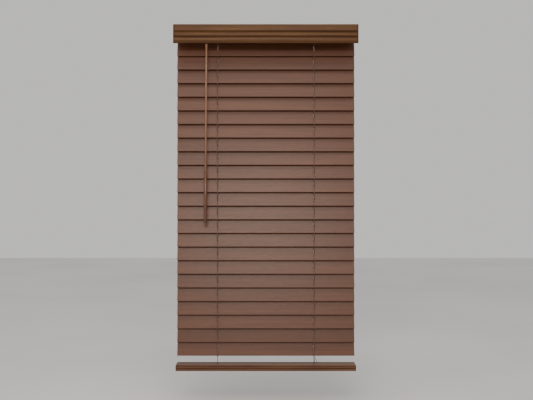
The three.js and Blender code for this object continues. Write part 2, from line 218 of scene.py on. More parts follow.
def braided_polyester(name, dark, light):
    material, surface = new_finish(name, 0.82, ior=1.5, Sheen_Weight=0.25, Sheen_Roughness=0.5)
    place = stretched(material, 2.0, 2.0, 2.0)
    strands = []
    for axis in ((0.0, 1.0, 0.0), (1.0, 0.0, 0.0)):
        sloped = add_node(material, "VectorRotate", {"rotation_type": "AXIS_ANGLE"}, {
            "Vector": place, "Axis": axis, "Angle": STRAND_SLOPE})
        wave = add_node(material, "TexWave", {"wave_type": "BANDS", "bands_direction": "Z"}, {
            "Vector": sloped.outputs["Vector"], "Scale": 0.35, "Distortion": 0.6})
        strands.append(wave.outputs["Fac"])
    crossed = add_node(material, "Math", {"operation": "MULTIPLY"})
    for position, strand in enumerate(strands):
        join(material, strand, crossed, position)
    fuzz = add_node(material, "TexNoise", {}, {"Vector": place, "Scale": 2.5, "Detail": 3.0})
    mixed = add_node(material, "Math", {"operation": "MULTIPLY_ADD"}, {1: 0.6, 2: 0.2})
    join(material, crossed.outputs[0], mixed, 0)
    tint = colour_steps(material, mixed.outputs[0], [(0.15, dark), (0.7, light)])
    worn = colour_steps(material, fuzz.outputs["Fac"], [(0.3, "d8d0ca"), (0.6, "ffffff")])
    join(material, multiplied(material, tint, worn), surface, "Base Color")
    raised = add_node(material, "Bump", {}, {
        "Strength": 0.6, "Distance": mm(0.3), "Height": crossed.outputs[0]})
    join(material, raised.outputs["Normal"], surface, "Normal")
    return material


ladder_braid = braided_polyester("braided_polyester_ladder", "5c4335", "6b5042")
lift_braid = braided_polyester("braided_polyester_lift", "4a3529", "5c4537")
print("cord finishes", 2)

# %% [markdown]
# The headrail and its brackets are rolled steel with a baked brown enamel. Enamel is smooth and
# slightly uneven, like an orange's peel, and it wears to a paler tone where hands and screws rub.
# The tilt rod and the wand's hook are zinc plated, a grey metal with soft patches called spangle.
# The drums, cradles and tilter are acetal, a waxy off-white plastic with a fine moulded texture.

# %% Enamel, zinc and moulded plastic
def baked_enamel(name, base, worn):
    material, surface = new_finish(name, 0.42, ior=1.5, Coat_Weight=0.3, Coat_Roughness=0.2)
    place = stretched(material, 1.0, 1.0, 1.0)
    peel = add_node(material, "TexNoise", {}, {"Vector": place, "Scale": 0.6, "Detail": 2.0})
    rubbed = add_node(material, "TexNoise", {}, {"Vector": place, "Scale": 0.05, "Detail": 4.0})
    join(material, colour_steps(material, rubbed.outputs["Fac"], [(0.45, base), (0.8, worn)]),
         surface, "Base Color")
    gloss = add_node(material, "MapRange", {}, {
        "Value": rubbed.outputs["Fac"], "To Min": 0.36, "To Max": 0.5})
    join(material, gloss.outputs["Result"], surface, "Roughness")
    bump = add_node(material, "Bump", {}, {
        "Strength": 0.15, "Distance": mm(0.15), "Height": peel.outputs["Fac"]})
    join(material, bump.outputs["Normal"], surface, "Normal")
    return material


def zinc_plate(name):
    material, surface = new_finish(name, 0.34, metallic=1.0)
    place = stretched(material, 1.0, 1.0, 1.0)
    spangle = add_node(material, "TexVoronoi", {}, {"Vector": place, "Scale": 0.25})
    join(material, colour_steps(material, spangle.outputs["Color"], [(0.2, "a4a5a2"), (0.8, "c6c7c3")]),
         surface, "Base Color")
    gloss = add_node(material, "MapRange", {}, {
        "Value": spangle.outputs["Distance"], "To Min": 0.28, "To Max": 0.42})
    join(material, gloss.outputs["Result"], surface, "Roughness")
    return material


def moulded_acetal(name, base, shade):
    material, surface = new_finish(name, 0.5, ior=1.48)
    place = stretched(material, 1.0, 1.0, 1.0)
    mottle = add_node(material, "TexNoise", {}, {"Vector": place, "Scale": 0.12, "Detail": 3.0})
    spark = add_node(material, "TexNoise", {}, {"Vector": place, "Scale": 1.6, "Detail": 1.0})
    join(material, colour_steps(material, mottle.outputs["Fac"], [(0.3, shade), (0.7, base)]),
         surface, "Base Color")
    gloss = add_node(material, "MapRange", {}, {
        "Value": mottle.outputs["Fac"], "To Min": 0.44, "To Max": 0.56})
    join(material, gloss.outputs["Result"], surface, "Roughness")
    bump = add_node(material, "Bump", {}, {
        "Strength": 0.2, "Distance": mm(0.1), "Height": spark.outputs["Fac"]})
    join(material, bump.outputs["Normal"], surface, "Normal")
    return material


headrail_enamel = baked_enamel("baked_enamel_brown", "4a2f22", "6a4a3a")
zinc = zinc_plate("zinc_plated_steel")
white_acetal = moulded_acetal("moulded_acetal_white", "cfcabd", "bdb7a9")
brown_acetal = moulded_acetal("moulded_acetal_brown", "5a3a29", "472c1e")
print("hardware finishes", 4)

# %% [markdown]
# The wand is a slim turned stick with a lacquered skin. Light brown lacquer over a fine grain
# reads warm and glossy, and the grain runs along the stick, so this noise is stretched along Z.
# The handle end is darker: the colour blends to a deeper brown over the lower part of the stick.

# %% Lacquered wand
def lacquered_beech(name, dark, light, dark_end, light_end, from_z, to_z):
    material, surface = new_finish(name, 0.33, ior=1.5, Coat_Weight=0.5, Coat_Roughness=0.18)
    grain = add_node(material, "TexNoise", {}, {
        "Vector": stretched(material, 1.1, 1.1, 45), "Scale": 1.0, "Detail": 4.0, "Roughness": 0.6})
    upper = colour_steps(material, grain.outputs["Fac"], [(0.34, dark), (0.62, light)])
    lower = colour_steps(material, grain.outputs["Fac"], [(0.34, dark_end), (0.62, light_end)])
    height = add_node(material, "SeparateXYZ", {}, {
        "Vector": add_node(material, "TexCoord").outputs["Object"]})
    share = add_node(material, "MapRange", {"interpolation_type": "SMOOTHSTEP"}, {
        "Value": height.outputs["Z"], "From Min": from_z, "From Max": to_z})
    blend = add_node(material, "Mix", {"data_type": "RGBA"}, {"Factor": share.outputs["Result"]})
    join(material, lower, blend, MIX_A)
    join(material, upper, blend, MIX_B)
    join(material, blend.outputs[MIX_RESULT], surface, "Base Color")
    bump = add_node(material, "Bump", {}, {
        "Strength": 0.15, "Distance": mm(0.15), "Height": grain.outputs["Fac"]})
    join(material, bump.outputs["Normal"], surface, "Normal")
    return material


wand_top_z, wand_foot_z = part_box("tilt_wand")[1][2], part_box("tilt_wand")[0][2]
wand_beech = lacquered_beech("lacquered_beech", "68452f", "93694b", "4a2b18", "653d25",
                             wand_foot_z + mm(120), wand_foot_z + mm(260))
print("wand", round((wand_top_z - wand_foot_z) * 1000), "mm long")

# %% [markdown]
# Every piece is made as a mesh in code. Three helpers are enough for most of them. A tube follows
# a row of points, as a cord or a bent wire does. A turned piece spins an outline about Z, as a
# lathe does. A plate is a flat outline with holes and softened edges: a filled curve with a bevel
# makes it, because the bevel also rounds the rims of the holes.

# %% Mesh helpers
def to_piece(name, mesh, finish, body, place=Matrix(), sharp=40):
    mesh.transform(place)
    if place.determinant() < 0:
        mesh.flip_normals()
    mesh.materials.clear()
    mesh.materials.append(finish)
    mesh.shade_smooth()
    mesh.set_sharp_from_angle(angle=math.radians(sharp))
    piece = bpy.data.objects.new(name, mesh)
    bpy.context.collection.objects.link(piece)
    if body:
        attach(piece, body)
    return piece


def from_rings(name, rings, closed_row=False, caps=True):
    """A skin over rings of points. Each ring has the same number of points."""
    bm = bmesh.new()
    rows = [[bm.verts.new(point) for point in ring] for ring in rings]
    count = len(rows[0])
    pairs = list(zip(rows, rows[1:])) + ([(rows[-1], rows[0])] if closed_row else [])
    for lower, upper in pairs:
        for k in range(count):
            after = (k + 1) % count
            bm.faces.new((lower[k], lower[after], upper[after], upper[k]))
    if caps and not closed_row:
        bm.faces.new(list(reversed(rows[0])))
        bm.faces.new(rows[-1])
    bmesh.ops.recalc_face_normals(bm, faces=bm.faces)
    mesh = bpy.data.meshes.new(name)
    bm.to_mesh(mesh)
    bm.free()
    return mesh


def tube(name, points, diameter, sides=8, closed=False):
    points = [Vector(p) for p in points]
    last = len(points) - 1
    rings, side = [], None
    for k, point in enumerate(points):
        before = points[k - 1] if k or closed else point
        after = points[(k + 1) % len(points)] if k < last or closed else point
        along = (after - before).normalized()
        if side is None:
            side = along.orthogonal()
        side = (side - along * side.dot(along)).normalized()
        across = along.cross(side)
        turns = [2 * math.pi * n / sides for n in range(sides)]
        rings.append([point + (side * math.cos(t) + across * math.sin(t)) * diameter / 2 for t in turns])
    return from_rings(name, rings, closed_row=closed)


def turned(name, outline, sides=32):
    """Spins (radius, height) points about Z. A radius of 0 at an end closes it to a point."""
    bm = bmesh.new()
    verts = [bm.verts.new((radius, 0, height)) for radius, height in outline]
    edges = [bm.edges.new(pair) for pair in zip(verts, verts[1:])]
    bmesh.ops.spin(bm, geom=verts + edges, cent=(0, 0, 0), axis=(0, 0, 1), angle=2 * math.pi,
                   steps=sides, use_duplicate=False)
    bmesh.ops.remove_doubles(bm, verts=bm.verts, dist=1e-6)
    bmesh.ops.recalc_face_normals(bm, faces=bm.faces)
    mesh = bpy.data.meshes.new(name)
    bm.to_mesh(mesh)
    bm.free()
    return mesh


def plate(name, outlines, thickness, bevel, steps=2):
    """A flat piece in XY: the first outline is its edge and the others are holes."""
    curve = bpy.data.curves.new(name, "CURVE")
    curve.dimensions, curve.fill_mode = "2D", "BOTH"
    curve.extrude, curve.bevel_depth = thickness / 2 - bevel, bevel
    curve.offset, curve.bevel_resolution = -bevel, steps
    for outline in outlines:
        spline = curve.splines.new("POLY")
        spline.points.add(len(outline) - 1)
        for point, (x, y) in zip(spline.points, outline):
            point.co = (x, y, 0, 1)
        spline.use_cyclic_u = True
    maker = bpy.data.objects.new(name, curve)
    bpy.context.collection.objects.link(maker)
    bpy.context.view_layer.update()
    mesh = bpy.data.meshes.new_from_object(maker)
    bpy.data.objects.remove(maker)
    bpy.data.curves.remove(curve)
    return mesh


def rounded_outline(half_x, half_y, radius, x=0.0, y=0.0, steps=4):
    points = []
    for corner, (sx, sy) in enumerate(((1, 1), (-1, 1), (-1, -1), (1, -1))):
        for k in range(steps + 1):
            turn = math.pi / 2 * (corner + k / steps)
            points.append((x + sx * (half_x - radius) + radius * math.cos(turn),
                           y + sy * (half_y - radius) + radius * math.sin(turn)))
    return points


# %% [markdown]
# A slat is a flat board 50 mm wide with eased edges and one route hole at each ladder, where the
# lift cord passes. All the slats are one plate, turned nearly upright, which is how they hang when
# the blind is shut. The points are placed in the room and not about the slat's own middle, so
# that the grain, which is drawn from those points, comes out different on every slat.

# %% Slats
ROUTE_WIDTH, ROUTE_LENGTH = mm(3.6), mm(18)
ROUTE_CORNER = ROUTE_WIDTH / 2 - mm(0.01)
SLAT_CORNER = mm(1.2)
EASED_EDGE = mm(0.9)


def slat_place(i):
    return Matrix.Translation(slat_centre[i]) @ Matrix.Rotation(CLOSED, 4, "X")


def slat_outlines():
    holes = [rounded_outline(ROUTE_WIDTH / 2, ROUTE_LENGTH / 2, ROUTE_CORNER, x=side * LADDER_X)
             for side in SIDES]
    return [rounded_outline(SLAT_LENGTH / 2, SLAT_WIDTH / 2, SLAT_CORNER)] + holes


for i in range(1, SLATS + 1):
    board = plate(f"slat_board_{i:02d}", slat_outlines(), SLAT_THICKNESS, EASED_EDGE, steps=3)
    piece = to_piece(f"slat_board_{i:02d}", board, slat_wood, f"slat_{i:02d}", slat_place(i))
    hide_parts(f"slat_{i:02d}")
print("slats", SLATS, "with", len(board.polygons), "faces each")

# %% [markdown]
# A ladder is two upright cords, one before the slats and one behind, joined by a rung under each
# slat. When the wand turns, the drum takes in one upright and lets out the other. The uprights are
# tubes that shorten when the bottom rail is raised. Above each is a fixed lead from the drum, and
# below each a tail that belongs to the rail. Both run inside the upright like a telescope, so the
# cord is whole when the slats are shut either way. Between those two, the uprights stand out from
# their leads and tails, which don't bend.

# %% Ladder uprights
LADDER_CORD = mm(1.6)
INNER_CORD = LADDER_CORD - mm(0.15)  # slides inside an upright
ROD_Z = centre_of("right_ladder_drum").z
CORE_RADIUS = mm(9.5)  # of a drum
HOLD = mm(23.25)  # from a slat's middle to where the ladder holds it
ladder_y = HOLD * math.cos(CLOSED) + mm(3.4)
hold_drop = HOLD * math.sin(CLOSED)


def cord_run(top, foot, count=60):
    return [top.lerp(foot, k / count) for k in range(count + 1)]


upright_length = slat_centre[1].z - slat_centre[SLATS].z
for side in SIDES:
    for face in FACES:
        name = f"{face_name[face]}_{side_name[side]}"
        top = Vector((side * LADDER_X, face * ladder_y, slat_centre[1].z + face * hold_drop))
        foot = top - Vector((0, 0, upright_length))
        upright = tube(f"ladder_upright_{name}", cord_run(top, foot), LADDER_CORD, sides=10)
        piece = to_piece(f"ladder_upright_{name}", upright, ladder_braid, None)
        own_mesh(piece)
        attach(piece, f"ladder_{face_name[face]}")
        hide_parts(f"ladder_{face_name[face]}_{side_name[side]}")
print("ladder uprights 4, each", round(upright_length * 1000), "mm")

# %% [markdown]
# Each lead leaves the drum's core at its side and comes down to the first slat. It is a hair
# thinner than the upright, so that the upright can slide over it.

# %% Ladder leads and windings
LEAD_DROP = mm(28)  # where a lead has come out to the ladder's line

for side in SIDES:
    for face in FACES:
        name = f"ladder_lead_{face_name[face]}_{side_name[side]}"
        x = side * LADDER_X
        leave = CORE_RADIUS + LADDER_CORD / 2
        points = [Vector((x, face * (leave + (ladder_y - leave) * share ** 1.5),
                          ROD_Z - LEAD_DROP * share)) for share in (0, 0.25, 0.5, 0.75, 1)]
        foot = Vector((x, face * ladder_y, slat_centre[1].z - hold_drop - mm(3)))
        points += cord_run(points[-1], foot, 10)[1:]
        piece = to_piece(name, tube(name, points, INNER_CORD, sides=10), ladder_braid, "headrail_assembly")


def winding(x, turns=1.5, count=60):
    radius, pitch = CORE_RADIUS + mm(0.85), mm(3.6)
    points = []
    for k in range(count + 1):
        angle = math.pi * (1 - 2 * turns * k / count)
        along = x + pitch * (k / count - 0.5) * turns
        points.append(Vector((along, radius * math.cos(angle), ROD_Z + radius * math.sin(angle))))
    return points


for side in SIDES:
    name = f"drum_winding_{side_name[side]}"
    coil = tube(name, winding(side * LADDER_X), LADDER_CORD, sides=8)
    to_piece(name, coil, ladder_braid, "tilt_rod")
print("leads 4, windings 2")

# %% [markdown]
# Below the last slat each tail leaves the upright, lies over the top of the bottom rail and goes
# down its face to a plug underneath. A shut blind leaves its tails slack, and the front right one
# bows out to the side a little more than the others. At the front a slack length lies beside the
# upright, ready for the other way of tilting. It folds down as the rail is raised.

# %% Ladder tails
def smooth_path(points, steps=6):
    """A curve through the points, so that a cord bends and doesn't kink."""
    ends = [points[0] * 2 - points[1]] + points + [points[-1] * 2 - points[-2]]
    path = []
    for a, b, c, d in zip(ends, ends[1:], ends[2:], ends[3:]):
        for k in range(steps):
            t = k / steps
            path.append(0.5 * (2 * b + (c - a) * t + (2 * a - 5 * b + 4 * c - d) * t ** 2
                               + (3 * b - a - 3 * c + d) * t ** 3))
    return path + [points[-1]]


rail_top, rail_foot = rail_high.z, rail_low.z
rail_face = rail_high.y
TAIL_BOW = {("left", "front"): mm(1.5), ("right", "front"): mm(11.5),
            ("left", "back"): mm(-2), ("right", "back"): mm(3)}


def tail_points(side, face):
    x, bow = side * LADDER_X, TAIL_BOW[(side_name[side], face_name[face])]
    start = Vector((x, face * ladder_y, slat_centre[SLATS].z + hold_drop + mm(0.8)))
    knee = Vector((x, face * ladder_y, slat_centre[SLATS].z - mm(24)))
    down = smooth_path([
        knee,
        Vector((x + bow * 0.25, face * (ladder_y + mm(2.5)), knee.z - mm(7))),
        Vector((x + bow * 0.8, face * (ladder_y + mm(8.5)), rail_top + mm(9))),
        Vector((x + bow, face * (rail_face - mm(2.2)), rail_top + mm(1.1))),
        Vector((x + bow * 0.98, face * (rail_face + mm(0.55)), rail_top - mm(2.6))),
        Vector((x + bow * 0.8, face * (rail_face + mm(0.75)), rail_top - mm(9))),
        Vector((x + bow * 0.6, face * (rail_face + mm(0.55)), rail_foot + mm(3.2))),
        Vector((x + bow * 0.55, face * (rail_face - mm(1.6)), rail_foot + mm(0.9))),
        Vector((x + bow * 0.5, face * (rail_face - mm(4)), rail_foot + mm(2.5)))])
    return cord_run(start, knee, 8), down


for side in SIDES:
    for face in FACES:
        beside, down = tail_points(side, face)
        if face == BACK:
            down = beside[:-1] + down
        name = f"ladder_tail_{face_name[face]}_{side_name[side]}"
        tail = tube(name, down, INNER_CORD, sides=10)
        to_piece(name, tail, ladder_braid, "bottom_rail")
        if face == FRONT:
            name = f"ladder_slack_{side_name[side]}"
            slack = to_piece(name, tube(name, beside, INNER_CORD, sides=10), ladder_braid, None)
            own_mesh(slack)
            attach(slack, "bottom_rail")
print("tails 4, and 2 slack lengths")

# %% [markdown]
# A rung is two strands side by side, 4 mm apart, with the slat lying on them and the lift cord
# passing between. At each edge the strands come together in a small knot on the upright. The rungs
# turn with their slat.

# %% Ladder rungs
RUNG_STRAND = mm(1.0)
RUNG_HALF_GAP = mm(2.0)
KNOT_RADIUS, KNOT_HEIGHT = mm(0.9), mm(1.4)
KNOT_Y, KNOT_Z = mm(25.9), mm(1.0)


def rung_strand(offset):
    half = SLAT_WIDTH / 2
    under = -SLAT_THICKNESS / 2 - mm(0.55)
    edge = half + mm(0.85)
    near = [(offset * 0.4, edge + mm(0.5), KNOT_Z), (offset * 0.8, edge, mm(-0.6)),
            (offset, half - mm(1.2), under), (offset, half / 2, under)]
    front = [Vector((x, -y, z)) for x, y, z in near]
    back = [Vector(point) for point in reversed(near)]
    return smooth_path(front + [Vector((offset, 0, under))] + back, steps=4)


def knot(y, z, steps=24):
    """Two loops of the strand pulled tight round the upright."""
    points = []
    for k in range(steps + 1):
        turn = 4 * math.pi * k / steps
        points.append(Vector((KNOT_RADIUS * math.cos(turn), y + KNOT_RADIUS * math.sin(turn),
                              z + KNOT_HEIGHT * (k / steps - 0.5))))
    return points


def merged(name, meshes):
    bm = bmesh.new()
    for mesh in meshes:
        bm.from_mesh(mesh)
    whole = bpy.data.meshes.new(name)
    bm.to_mesh(whole)
    bm.free()
    return whole


for i in range(1, SLATS + 1):
    for side in SIDES:
        name = f"ladder_rung_{side_name[side]}_{i:02d}"
        parts = [tube(name, rung_strand(hand * RUNG_HALF_GAP), RUNG_STRAND, sides=6) for hand in SIDES]
        parts += [tube(name, knot(face * KNOT_Y, KNOT_Z), RUNG_STRAND, sides=6) for face in FACES]
        place = slat_place(i) @ Matrix.Translation((side * LADDER_X, 0, 0))
        to_piece(name, merged(name, parts), ladder_braid, f"slat_{i:02d}", place)
print("rungs", 2 * SLATS)

# %% [markdown]
# The two lift cords run from the spools in the headrail through the route holes to the rail. The
# spring takes them in as the rail is raised, so these tubes shorten towards the headrail too.

# %% Lift cords
LIFT_CORD = mm(1.8)
links = {-1: range(2, SLATS, 2), 1: range(3, SLATS, 2)}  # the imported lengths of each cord
for side in SIDES:
    top = Vector((side * LADDER_X, 0, ROD_Z - mm(16)))
    foot = Vector((side * LADDER_X, 0, rail_top))
    name = f"lift_cord_{side_name[side]}"
    piece = to_piece(name, tube(name, cord_run(top, foot), LIFT_CORD, sides=10), lift_braid, None)
    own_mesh(piece)
    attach(piece, "headrail_assembly")
    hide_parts(*[f"lift_cord_{i:02d}" for i in links[side]])
print("lift cords 2, each", round((top.z - foot.z) * 1000), "mm")

# %% [markdown]
# The valance is a moulding with three beads, cut to length with its front corners rounded over.
# A moulding is one outline pushed along its length. Here the outline is set at stations along X,
# and near each end the stations draw back, which rounds the corner.

# %% Valance
valance_low, valance_high = (Vector(corner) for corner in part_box("valance"))
VALANCE_HEIGHT, VALANCE_DEPTH = valance_high.z - valance_low.z, valance_high.y - valance_low.y
CORNER_RADIUS = mm(7.5)

# Down the front of the moulding: how far each point stands from the back, and its drop from the
# top, both in shares of the whole. The first bead is a flat band that flares out at its foot.
VALANCE_FACE = [
    (0.72, 0.0), (0.77, 0.006), (0.79, 0.02), (0.795, 0.07), (0.80, 0.13), (0.81, 0.18), (0.845, 0.215),
    (0.90, 0.25), (0.96, 0.28), (0.99, 0.30), (1.0, 0.325), (0.985, 0.345), (0.93, 0.36), (0.80, 0.38),
    (0.66, 0.40), (0.60, 0.425), (0.62, 0.445), (0.78, 0.46), (0.88, 0.475), (0.94, 0.495), (0.965, 0.52),
    (0.97, 0.56), (0.97, 0.60), (0.95, 0.62), (0.87, 0.64), (0.72, 0.66), (0.61, 0.685), (0.60, 0.705),
    (0.72, 0.72), (0.79, 0.74), (0.835, 0.765), (0.89, 0.79), (0.94, 0.815), (0.955, 0.84), (0.95, 0.865),
    (0.92, 0.89), (0.86, 0.92), (0.78, 0.955), (0.70, 1.0)]


def valance_section(x, share):
    ring = [Vector((x, valance_high.y, valance_high.z))]
    for depth, drop in VALANCE_FACE:
        ring.append(Vector((x, valance_high.y - depth * share * VALANCE_DEPTH,
                            valance_high.z - drop * VALANCE_HEIGHT)))
    return ring + [Vector((x, valance_high.y, valance_high.z - VALANCE_HEIGHT))]


def rounded_stations(low, high, radius, depth, steps=7):
    stations = []
    for k in range(steps + 1):
        turn = math.pi / 2 * k / steps
        inset = radius * (1 - math.sin(turn))
        stations.append((low + radius * (1 - math.cos(turn)), (depth - inset) / depth))
    return stations + [(low + high - x, share) for x, share in reversed(stations)]


rings = [valance_section(x, share)
         for x, share in rounded_stations(valance_low.x, valance_high.x, CORNER_RADIUS, VALANCE_DEPTH)]
valance = to_piece("valance_moulding", from_rings("valance_moulding", rings), valance_wood,
                   "headrail_assembly", sharp=35)
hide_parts("valance")
print("valance", round((valance_high.x - valance_low.x) * 1000), "mm long")

# %% [markdown]
# The bottom rail is a deep block of the same board with two grooves along each face. Its ends are
# shut with thin moulded caps. The lift cords go in through two grommets on top, and two plugs
# underneath hold the ladder's tails.

# %% Bottom rail
RAIL_GROOVES = ((mm(9.4), mm(3.2)), (mm(2.2), mm(2.6)))  # drop from the rail's top, and depth
GROOVE_WIDTH = mm(2.4)
FOOT_CORNER, TOP_CORNER = mm(3), mm(0.6)


def rail_corner(radius, centre_z, first_turn, steps=6):
    points = []
    for k in range(steps + 1):
        turn = math.pi / 2 * (k / steps) + first_turn
        points.append((rail_face - radius + radius * math.cos(turn), centre_z + radius * math.sin(turn)))
    return points


def rail_outline():
    points = rail_corner(FOOT_CORNER, rail_foot + FOOT_CORNER, -math.pi / 2)
    for drop, depth in RAIL_GROOVES:
        for k in range(9):
            share = k / 8
            points.append((rail_face - depth * math.sin(math.pi * share) ** 0.5,
                           rail_top - drop + GROOVE_WIDTH * (share - 0.5)))
    points += rail_corner(TOP_CORNER, rail_top - TOP_CORNER, 0)
    return points + [(-y, z) for y, z in reversed(points)]


def rail_section(x, share=1.0):
    middle = (rail_top + rail_foot) / 2
    return [Vector((x, y * share, middle + (z - middle) * share)) for y, z in rail_outline()]


CAP = mm(2.4)
ends = (rail_low.x, rail_high.x)
block_ends = (ends[0] + CAP, ends[1] - CAP)
body_rings = [rail_section(x) for x in (block_ends[0], block_ends[0] + mm(0.4),
                                        block_ends[1] - mm(0.4), block_ends[1])]
rail = to_piece("bottom_rail_block", from_rings("bottom_rail_block", body_rings), rail_wood, "bottom_rail")
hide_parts("bottom_rail")
for side, end in zip(SIDES, ends):
    name = f"rail_end_cap_{side_name[side]}"
    stations = [(end - side * CAP, 0.985), (end - side * mm(2.0), 1.0), (end - side * mm(0.7), 1.0),
                (end - side * mm(0.2), 0.985), (end, 0.955)]
    cap = from_rings(name, [rail_section(x, share) for x, share in stations])
    to_piece(name, cap, brown_acetal, "bottom_rail")
for side in SIDES:
    name = f"rail_grommet_{side_name[side]}"
    lip = turned(name, [(mm(1.3), mm(-3)), (mm(1.3), mm(0.3)), (mm(1.7), mm(0.7)), (mm(3.6), mm(0.7)),
                        (mm(4.2), mm(0.2)), (mm(4.2), mm(-0.4))], 24)
    place = Matrix.Translation((side * LADDER_X, 0, rail_top))
    to_piece(name, lip, brown_acetal, "bottom_rail", place)
for side in SIDES:
    name = f"rail_plug_{side_name[side]}"
    button = turned(name, [(0, mm(-0.05)), (mm(4.6), mm(-0.05)), (mm(5.4), mm(0.35)),
                           (mm(5.4), mm(1.5))], 28)
    place = Matrix.Translation((side * LADDER_X, 0, rail_foot + mm(0.05)))
    to_piece(name, button, brown_acetal, "bottom_rail", place)
print("rail", round((ends[1] - ends[0]) * 1000), "mm long, with 2 caps, 2 grommets and 2 plugs")

# %% [markdown]
# The wand hangs on a bent wire hook and leans a little, foot to the left. It is one turned stick:
# a short cap, a slim shaft and a thicker handle with shallow grooves for the fingers. Its foot ends
# in a dark moulded tip. The wand is drawn upright at its pivot and then moved into place.

# %% Wand
PIVOT = Vector((mm(-187), mm(-36), mm(-46)))
WAND_LEAN = math.radians(0.4)
wand_place = Matrix.Translation(PIVOT) @ Matrix.Rotation(WAND_LEAN, 4, "Y")
WAND_TOP = mm(-8.1)
WAND_FOOT = WAND_TOP - mm(567)
TIP = mm(14)
CAP_LENGTH, HANDLE_LENGTH, TAPER = mm(15), mm(160), mm(30)
SHAFT, HANDLE = mm(3.0), mm(4.75)  # radii


def wand_outline():
    top, foot = WAND_TOP, WAND_FOOT + TIP
    handle = WAND_FOOT + HANDLE_LENGTH
    shaft_top, shaft_foot = top - CAP_LENGTH, handle + TAPER
    outline = [(mm(1.2), top - mm(12)), (mm(1.2), top), (mm(2.9), top), (mm(3.5), top - mm(0.5)),
               (mm(3.7), top - mm(1.4)), (mm(3.7), top - mm(13.6)), (mm(3.5), top - mm(14.5)),
               (SHAFT, shaft_top)]
    for k in range(1, 9):
        outline.append((SHAFT, shaft_top + (shaft_foot - shaft_top) * k / 9))
    for k in range(9):
        share = k / 8
        bell = share * share * (3 - 2 * share)
        outline.append((SHAFT + (HANDLE - SHAFT) * bell, handle + TAPER * (1 - share)))
    for ring in (8, 14, 20):
        z = handle - mm(ring)
        outline += [(HANDLE, z + mm(1.2)), (HANDLE - mm(0.5), z + mm(0.5)),
                    (HANDLE - mm(0.5), z - mm(0.5)), (HANDLE, z - mm(1.2))]
    return outline + [(HANDLE, foot + mm(1.0)), (HANDLE - mm(0.35), foot), (0, foot)]


wand = to_piece("wand_stick", turned("wand_stick", wand_outline(), 28), wand_beech, "tilt_wand",
                wand_place, sharp=50)
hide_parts("tilt_wand")
TIP_CORNER = mm(1.6)
tip_top = WAND_FOOT + TIP
tip_outline = [(0, tip_top + mm(0.6)), (HANDLE - mm(0.9), tip_top + mm(0.6)),
               (HANDLE - mm(0.15), tip_top - mm(0.2)), (HANDLE, tip_top - mm(1)),
               (HANDLE, WAND_FOOT + mm(3))]
for k in range(6):
    turn = math.pi / 2 * k / 5
    tip_outline.append((HANDLE - TIP_CORNER * (1 - math.cos(turn)),
                        WAND_FOOT + TIP_CORNER * (1 - math.sin(turn))))
tip = turned("wand_tip", tip_outline + [(0, WAND_FOOT)], 28)
to_piece("wand_tip", tip, brown_acetal, "tilt_wand", wand_place)
print("wand", round((WAND_TOP - WAND_FOOT) * 1000), "mm")

# %% [markdown]
# The hook is one wire bent into a loop with its tail down into the wand's cap. A tube along a bent
# path makes it. The loop goes round the thin neck at the foot of the tilter's stem.

# %% Wand hook
HOOK_WIRE = mm(1.8)
HOOK_HALF_WIDTH, HOOK_HALF_HEIGHT, HOOK_CORNER = mm(5.1), mm(5.7), mm(3.2)


def hook_loop():
    """The closed loop, begun at its foot, where the tail leaves it."""
    ring = rounded_outline(HOOK_HALF_WIDTH, HOOK_HALF_HEIGHT, HOOK_CORNER, steps=6)
    low_points = [k for k, (x, z) in enumerate(ring) if z < 0]
    first = min(low_points, key=lambda k: abs(ring[k][0] + mm(1.5)))
    return [Vector((x, 0, z)) for x, z in ring[first:] + ring[:first]]


def hook_tail():
    places = [(0, 0), (mm(0.1), mm(0.6)), (0, mm(2.6)), (0, mm(10.5))]
    return [Vector((x, 0, -HOOK_HALF_HEIGHT - drop)) for x, drop in places]


wire = merged("wand_hook_wire", [tube("wand_hook_wire", hook_loop(), HOOK_WIRE, 10, closed=True),
                                 tube("wand_hook_wire", hook_tail(), HOOK_WIRE, 10)])
hook = to_piece("wand_hook_wire", wire, zinc, "wand_hook", wand_place)
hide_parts("wand_hook")
print("hook wire", round(HOOK_WIRE * 1000, 1), "mm")

# %% [markdown]
# The tilter's stem ends in a worm, a screw that turns the rod inside the housing. A worm is a round
# bar whose radius rises along a slope, so each ring of points is given a radius that depends on the
# turn and on the height. Its neck and button below hold the hook.

# %% Tilter stem and worm
# The stem rises from the pivot and passes under the rod, one worm and wheel distance away from it.
ROD_BACK, ROD_UP, GEAR_DISTANCE = mm(36), mm(28), mm(12)
STEM_RISE = math.atan2(ROD_UP, ROD_BACK) - math.asin(GEAR_DISTANCE / math.hypot(ROD_BACK, ROD_UP))
stem_place = Matrix.Translation(PIVOT) @ Matrix.Rotation(STEM_RISE - math.pi / 2, 4, "X")
WORM_START, WORM_LENGTH = mm(37), mm(14)
WORM_PITCH = WORM_LENGTH / 3
BAR_RADIUS, RIDGE = mm(2.2), mm(1.75)


def stem_radius(z, turn):
    if z < mm(-4.7):
        return mm(2.7)
    if z < mm(-3.4):
        return mm(3.2)
    if z < mm(4.6):
        return mm(1.6)
    if z < WORM_START:
        return BAR_RADIUS
    ridge = 0.5 + 0.5 * math.cos(turn - 2 * math.pi * z / WORM_PITCH)
    fade = min(1.0, (z - WORM_START) / mm(1), (WORM_START + WORM_LENGTH - z) / mm(1))
    return BAR_RADIUS + RIDGE * max(0.0, fade) * min(1.0, ridge * 1.5) ** 1.5


def stem_heights():
    steps = [-5.0, -4.7, -4.69, -3.42, -3.38, 0, 4.5, 4.7, 12, 20, 28, 36.9]
    return [mm(z) for z in steps] + [WORM_START + WORM_LENGTH * k / 64 for k in range(65)]


